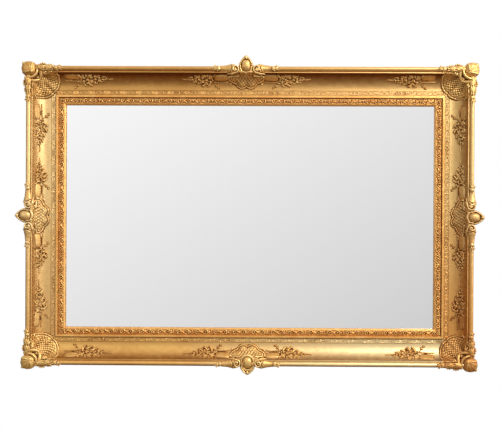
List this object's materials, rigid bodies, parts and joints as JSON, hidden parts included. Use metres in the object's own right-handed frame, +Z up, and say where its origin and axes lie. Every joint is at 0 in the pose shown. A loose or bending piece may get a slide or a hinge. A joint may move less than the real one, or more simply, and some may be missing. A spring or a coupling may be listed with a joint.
{
  "type": "overmantel mirror",
  "caption": "Wide giltwood overmantel mirror with a deep cove frame, cast composition corner and centre ornament and leaf sprays, and a plain plate.",
  "frame": {"origin": "middle of the object's back, on the wall plane: halfway across and halfway up the moulded body, on the middle back board", "axes": "+X to the viewer's right, +Z up, the mirror's face looks along -Y, +Y goes into the wall"},
  "size_m": [1.5732, 0.098, 1.0695],
  "materials": {
    "gilt_moulding": "water-gilt and burnished gold leaf over red bole on gessoed softwood, rubbed on the high edges",
    "gilt_ornament": "gold leaf on cast composition, toned dark in the hollows",
    "pine_frame": "bare planed pine, darkened with age",
    "hardwood_key": "bare hardwood",
    "back_board": "thin rough-sawn pine boards, darkened with age",
    "mirror_plate": "plain silvered plate",
    "hanger_brass": "dull brass",
    "screw_steel": "bright steel gone grey"
  },
  "bodies": {
    "frame": {"back_rail_top": "pine_frame", "back_stile_right": "pine_frame", "back_rail_bottom": "pine_frame", "back_stile_left": "pine_frame", "corner_key_tl": "hardwood_key", "corner_key_tr": "hardwood_key", "corner_key_br": "hardwood_key", "corner_key_bl": "hardwood_key", "back_board_1": "back_board", "back_board_2": "back_board", "back_board_3": "back_board", "mirror_plate": "mirror_plate", "glazing_fillet_top": "pine_frame", "glazing_fillet_right": "pine_frame", "glazing_fillet_bottom": "pine_frame", "glazing_fillet_left": "pine_frame", "cove_moulding_top": "gilt_moulding", "cove_moulding_right": "gilt_moulding", "cove_moulding_bottom": "gilt_moulding", "cove_moulding_left": "gilt_moulding", "sight_moulding_top": "gilt_moulding", "sight_moulding_right": "gilt_moulding", "sight_moulding_bottom": "gilt_moulding", "sight_moulding_left": "gilt_moulding", "sight_ornament_top": "gilt_ornament", "sight_ornament_right": "gilt_ornament", "sight_ornament_bottom": "gilt_ornament", "sight_ornament_left": "gilt_ornament", "corner_cartouche_tl": "gilt_ornament", "corner_cartouche_tr": "gilt_ornament", "corner_cartouche_br": "gilt_ornament", "corner_cartouche_bl": "gilt_ornament", "centre_cartouche_top": "gilt_ornament", "centre_cartouche_right": "gilt_ornament", "centre_cartouche_bottom": "gilt_ornament", "centre_cartouche_left": "gilt_ornament", "spray_top_centre_a": "gilt_ornament", "spray_top_centre_b": "gilt_ornament", "spray_top_corner_a": "gilt_ornament", "spray_top_corner_b": "gilt_ornament", "spray_right_centre_a": "gilt_ornament", "spray_right_centre_b": "gilt_ornament", "spray_right_corner_a": "gilt_ornament", "spray_right_corner_b": "gilt_ornament", "spray_bottom_centre_a": "gilt_ornament", "spray_bottom_centre_b": "gilt_ornament", "spray_bottom_corner_a": "gilt_ornament", "spray_bottom_corner_b": "gilt_ornament", "spray_left_centre_a": "gilt_ornament", "spray_left_centre_b": "gilt_ornament", "spray_left_corner_a": "gilt_ornament", "spray_left_corner_b": "gilt_ornament", "hanger_strap_left": "hanger_brass", "hanger_screw_left_1": "screw_steel", "hanger_screw_left_2": "screw_steel", "hanger_strap_right": "hanger_brass", "hanger_screw_right_1": "screw_steel", "hanger_screw_right_2": "screw_steel"},
    "ring_left": {"hanger_ring_left": "hanger_brass"},
    "ring_right": {"hanger_ring_right": "hanger_brass"}
  },
  "joints": [
    {"name": "ring_left_swing", "type": "hinge", "parent": "frame", "child": "ring_left", "pos_m": [-0.69435, -0.00425, 0.2015], "axis": [1, 0, 0], "range_deg": [0, 180]},
    {"name": "ring_right_swing", "type": "hinge", "parent": "frame", "child": "ring_right", "pos_m": [0.69435, -0.00425, 0.2015], "axis": [1, 0, 0], "range_deg": [0, 180]}
  ]
}
